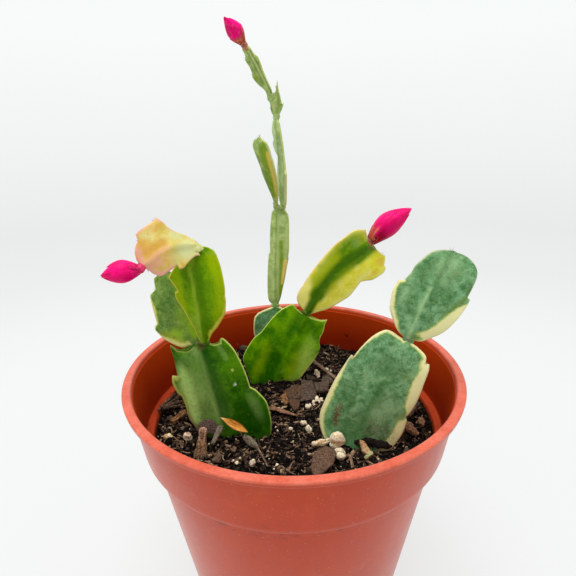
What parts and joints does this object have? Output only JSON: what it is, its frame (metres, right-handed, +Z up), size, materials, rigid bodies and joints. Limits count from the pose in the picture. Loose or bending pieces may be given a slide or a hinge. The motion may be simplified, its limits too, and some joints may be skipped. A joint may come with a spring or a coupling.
{
  "type": "potted christmas cactus",
  "caption": "Young Christmas cactus cuttings with flat toothed stem segments and closed pink buds, standing in soil in a round tapered plastic nursery pot.",
  "frame": {"origin": "centre of the pot's flat underside, on the surface that the pot stands on", "axes": "+Z up along the pot's axis; -Y towards the front, the side with the toothed left and right plants' broad faces; +X to the right seen from the front"},
  "size_m": [0.105, 0.105, 0.1943],
  "materials": {
    "stem_green": "satin, waxy plant skin",
    "stem_pale": "satin, waxy plant skin",
    "bud": "satin petals",
    "pot_plastic": "satin moulded plastic",
    "potting_mix": "rough",
    "bark": "rough",
    "pale_wood": "rough",
    "perlite": "rough",
    "dry_leaf": "matte"
  },
  "bodies": {
    "root": {"right_base_segment": "stem_green", "right_tip_segment": "stem_green", "left_base_segment": "stem_green", "left_rear_segment": "stem_green", "left_front_segment": "stem_green", "left_tip_segment": "stem_pale", "centre_base_segment": "stem_green", "centre_tip_segment": "stem_green", "back_base_segment": "stem_green", "back_second_segment": "stem_green", "back_side_segment": "stem_green", "back_third_segment": "stem_green", "back_fourth_segment": "stem_green", "back_top_segment": "stem_green", "left_bud": "bud", "centre_bud": "bud", "back_bud": "bud", "pot": "pot_plastic", "soil": "potting_mix", "bark_disc": "bark", "front_bark_chip": "bark", "centre_bark_chip": "bark", "centre_rear_bark_chip": "bark", "left_bark_chip": "bark", "right_front_bark_chip": "bark", "right_round_chip": "bark", "small_front_bark_chip": "bark", "rear_bark_chip": "bark", "right_bark_stick": "bark", "tan_bark_chip": "bark", "reddish_stick": "bark", "thin_twig": "bark", "long_twig": "bark", "pale_wood_fragment": "pale_wood", "pale_bark_chip": "pale_wood", "upright_stick": "pale_wood", "leaf_stalk": "pale_wood", "orange_tipped_stick": "pale_wood", "large_perlite": "perlite", "lower_perlite": "perlite", "front_perlite": "perlite", "left_perlite": "perlite", "middle_perlite": "perlite", "inner_perlite": "perlite", "small_perlite": "perlite", "rear_perlite": "perlite", "front_left_perlite": "perlite", "pink_porous_grain": "perlite", "tan_grain": "perlite", "dried_leaf": "dry_leaf"}
  },
  "joints": []
}
